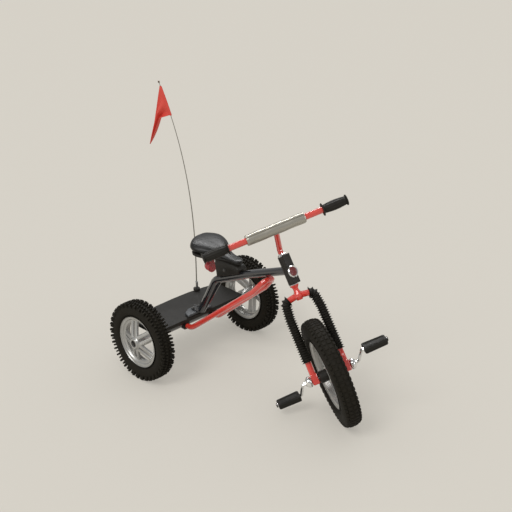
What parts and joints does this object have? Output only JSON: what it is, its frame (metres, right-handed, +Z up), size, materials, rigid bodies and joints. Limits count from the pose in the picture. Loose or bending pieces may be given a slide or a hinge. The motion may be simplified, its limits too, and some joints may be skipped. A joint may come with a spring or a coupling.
{
  "type": "pedal tricycle",
  "caption": "Child's pedal tricycle with raked fork in ribbed gaiters, saddle on a bent black tube, red hairpin brace, rear step deck, mag wheels with knobby tyres and a whip flag.",
  "frame": {"origin": "on the ground, at the centre of the whole object's plan box", "axes": "+X the way it rides, +Y to the rider's left, +Z up"},
  "size_m": [1.0363, 0.517, 0.82],
  "materials": {
    "frame_black": "gloss black enamel",
    "red": "gloss red enamel",
    "rubber": "moulded black rubber",
    "tyre": "matt tyre rubber",
    "wheel_silver": "silver moulded plastic",
    "chrome": "bright chrome",
    "steel": "plain steel",
    "pad_silver": "silver vinyl over foam",
    "black_plastic": "moulded, fine grain",
    "seat_vinyl": "soft moulded seat skin",
    "deck_black": "satin black enamel",
    "plate_grey": "zinc plated",
    "lens_red": "clear red prismatic plastic",
    "flag_red": "matt vinyl sheet",
    "pole": "glass fibre rod",
    "white_plastic": "nylon"
  },
  "bodies": {
    "frame": {"main_frame": "frame_black", "foot_bracket": "plate_grey", "rear_deck": "deck_black", "rear_axle_tube": "frame_black", "rear_axle": "steel", "lower_frame_loop": "red", "loop_clamp_left": "black_plastic", "loop_clamp_right": "black_plastic", "head_cover": "black_plastic", "head_badge": "red", "badge_ring": "chrome", "headset_cup_upper": "chrome", "headset_cup_lower": "chrome", "seat_cushion": "seat_vinyl", "seat_shell": "black_plastic", "seat_bracket": "black_plastic", "reflector_holder": "lens_red", "reflector_lens": "lens_red", "flag_bracket": "black_plastic", "flag_ferrule": "chrome", "flag_pole": "pole", "flag": "flag_red", "flag_tip": "black_plastic"},
    "steering": {"fork": "red", "fork_bush_left": "white_plastic", "fork_bush_right": "white_plastic", "gaiter_left": "rubber", "gaiter_right": "rubber", "stem_collar": "chrome", "stem_nut": "chrome", "handlebar": "red", "bar_pad": "pad_silver", "grip_left": "rubber", "grip_right": "rubber"},
    "front_wheel_unit": {"front_tyre": "tyre", "front_wheel": "wheel_silver", "front_hub": "black_plastic", "crank_axle": "chrome", "crank_boss_left": "chrome", "crank_boss_right": "chrome"},
    "left_pedal_unit": {"pedal_left": "rubber", "pedal_cap_left": "chrome"},
    "right_pedal_unit": {"pedal_right": "rubber", "pedal_cap_right": "chrome"},
    "left_rear_wheel_unit": {"rear_tyre_left": "tyre", "rear_wheel_left": "wheel_silver", "rear_axle_cap_left": "black_plastic", "rear_spacer_left": "steel"},
    "right_rear_wheel_unit": {"rear_tyre_right": "tyre", "rear_wheel_right": "wheel_silver", "rear_axle_cap_right": "black_plastic", "rear_spacer_right": "steel"}
  },
  "joints": [
    {"name": "steering", "type": "hinge", "parent": "frame", "child": "steering", "pos_m": [0.35858, 0, 0.15525], "axis": [-0.5388, 0, 0.8425], "range_deg": [-12.5, 77.5]},
    {"name": "front_axle", "type": "hinge", "parent": "steering", "child": "front_wheel_unit", "pos_m": [0.36568, -0.00537, 0.1598], "axis": [0.4527, 0.8434, 0.2895], "continuous": true},
    {"name": "left_pedal", "type": "hinge", "parent": "front_wheel_unit", "child": "left_pedal_unit", "pos_m": [0.41506, -0.05804, 0.23604], "axis": [0.4527, 0.8434, 0.2895], "continuous": true},
    {"name": "right_pedal", "type": "hinge", "parent": "front_wheel_unit", "child": "right_pedal_unit", "pos_m": [0.3163, 0.0473, 0.08355], "axis": [0.4527, 0.8434, 0.2895], "continuous": true},
    {"name": "left_rear_axle", "type": "hinge", "parent": "frame", "child": "left_rear_wheel_unit", "pos_m": [-0.209, 0.2245, 0.12699], "axis": [0, 1, 0], "continuous": true},
    {"name": "right_rear_axle", "type": "hinge", "parent": "frame", "child": "right_rear_wheel_unit", "pos_m": [-0.209, -0.2245, 0.12699], "axis": [0, 1, 0], "continuous": true}
  ]
}
